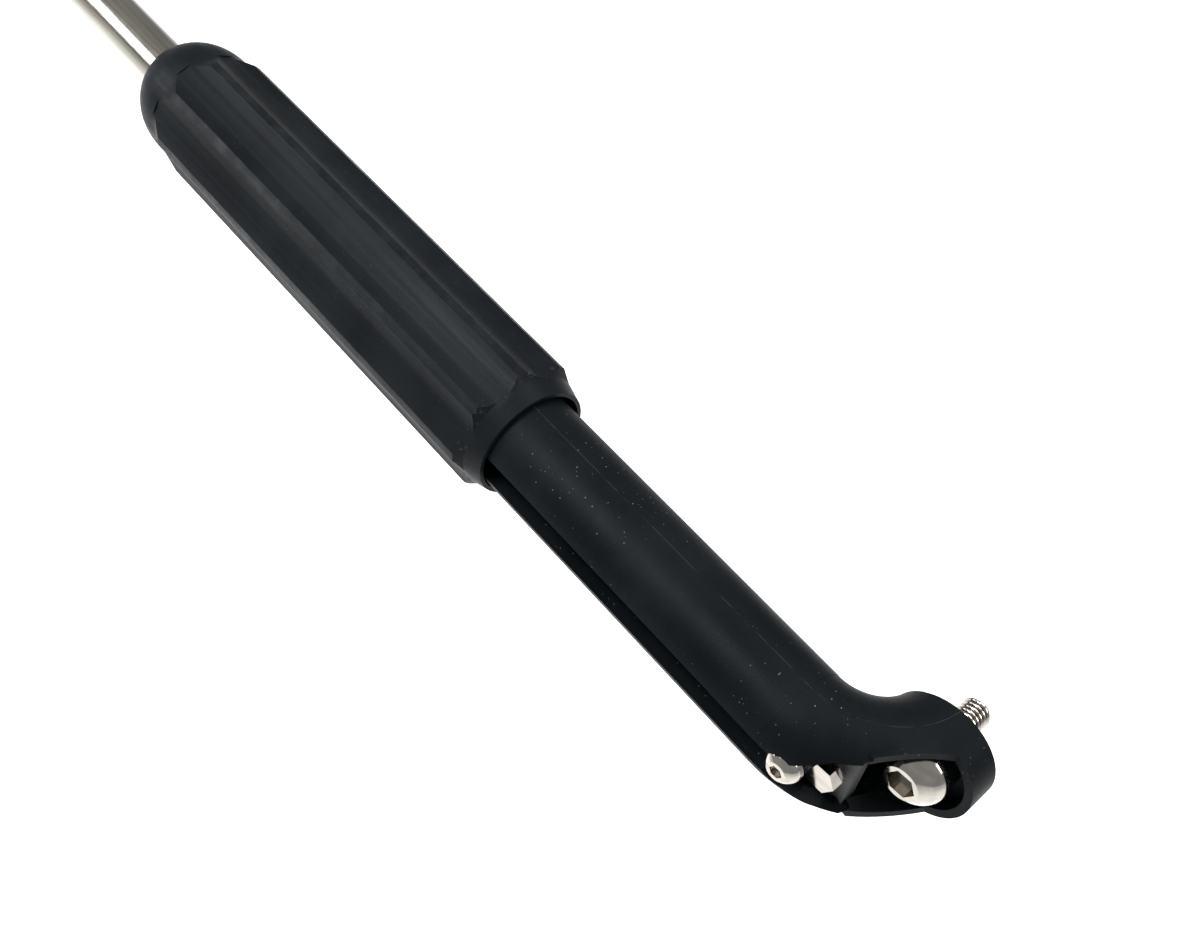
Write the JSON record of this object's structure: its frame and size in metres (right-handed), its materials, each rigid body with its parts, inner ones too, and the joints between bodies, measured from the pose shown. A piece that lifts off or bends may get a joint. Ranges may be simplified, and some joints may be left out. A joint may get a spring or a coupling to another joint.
{
  "type": "telescoping pivoting handle arm for a beach sand scoop",
  "caption": "Sand scoop handle arm: a hollow elbowed lug arm with a pivot screw, a fluted twist-lock sleeve and a sliding stainless rod.",
  "frame": {"origin": "centre of the lug's mating face, where the pivot screw's threaded end comes out", "axes": "+X runs along the handle from the rod towards the lug, +Y is the side the threaded end comes out of, +Z is square to both"},
  "size_m": [0.4031, 0.0462, 0.0312],
  "materials": {
    "arm_body": "moulded, fine grained matt",
    "collet": "turned engineering plastic",
    "small_steel": "bright",
    "spring_steel": "dark spring steel",
    "sleeve_shell": "moulded matt with rubbed flute edges",
    "bearing_plastic": "smooth acetal",
    "liner_brass": "turned",
    "wiper_rubber": "soft black rubber",
    "rod_tube": "ground stainless, lengthwise brushing",
    "rod_collar": "moulded",
    "end_cap": "moulded",
    "pivot_screw": "polished stainless",
    "pivot_bush": "sintered bronze",
    "stop_block": "moulded",
    "small_screws": "polished stainless"
  },
  "bodies": {
    "arm": {"arm_body": "arm_body", "collet": "collet", "collet_rivets": "small_steel", "snap_ring": "spring_steel", "head_washer": "small_steel", "pivot_bush": "pivot_bush", "stop_block": "stop_block", "bumper_pad": "wiper_rubber", "hex_screw": "small_screws", "stop_screw": "small_screws", "screw_washers": "small_steel"},
    "sleeve": {"sleeve_shell": "sleeve_shell", "bearing_ring": "bearing_plastic", "thread_liner": "liner_brass", "bush_keeper": "spring_steel", "guide_bush": "bearing_plastic", "wiper_ring": "wiper_rubber"},
    "cone": {"cone_nut": "liner_brass", "nut_keys": "small_steel"},
    "rod": {"rod_tube": "rod_tube", "rod_collar": "rod_collar", "collar_pin": "small_steel", "front_plug": "rod_collar", "end_cap": "end_cap"},
    "pivot": {"pivot_screw": "pivot_screw"}
  },
  "joints": [
    {"name": "sleeve_turn", "type": "hinge", "parent": "arm", "child": "sleeve", "pos_m": [0, -0.0185, 0], "axis": [1, 0, 0], "range_deg": [0, 120]},
    {"name": "nut_slide", "type": "slide", "parent": "arm", "child": "cone", "axis": [1, 0, 0], "range_m": [-0.002, 0]},
    {"name": "rod_slide", "type": "slide", "parent": "arm", "child": "rod", "axis": [1, 0, 0], "range_m": [0, 0.078]},
    {"name": "pivot_turn", "type": "hinge", "parent": "arm", "child": "pivot", "pos_m": [0, 0, 0], "axis": [-0.0872, 0.9962, 0], "continuous": true}
  ],
  "couplings": [
    {"joint": "nut_slide", "follows": "sleeve_turn", "m_per_rad": -0.00095493}
  ]
}
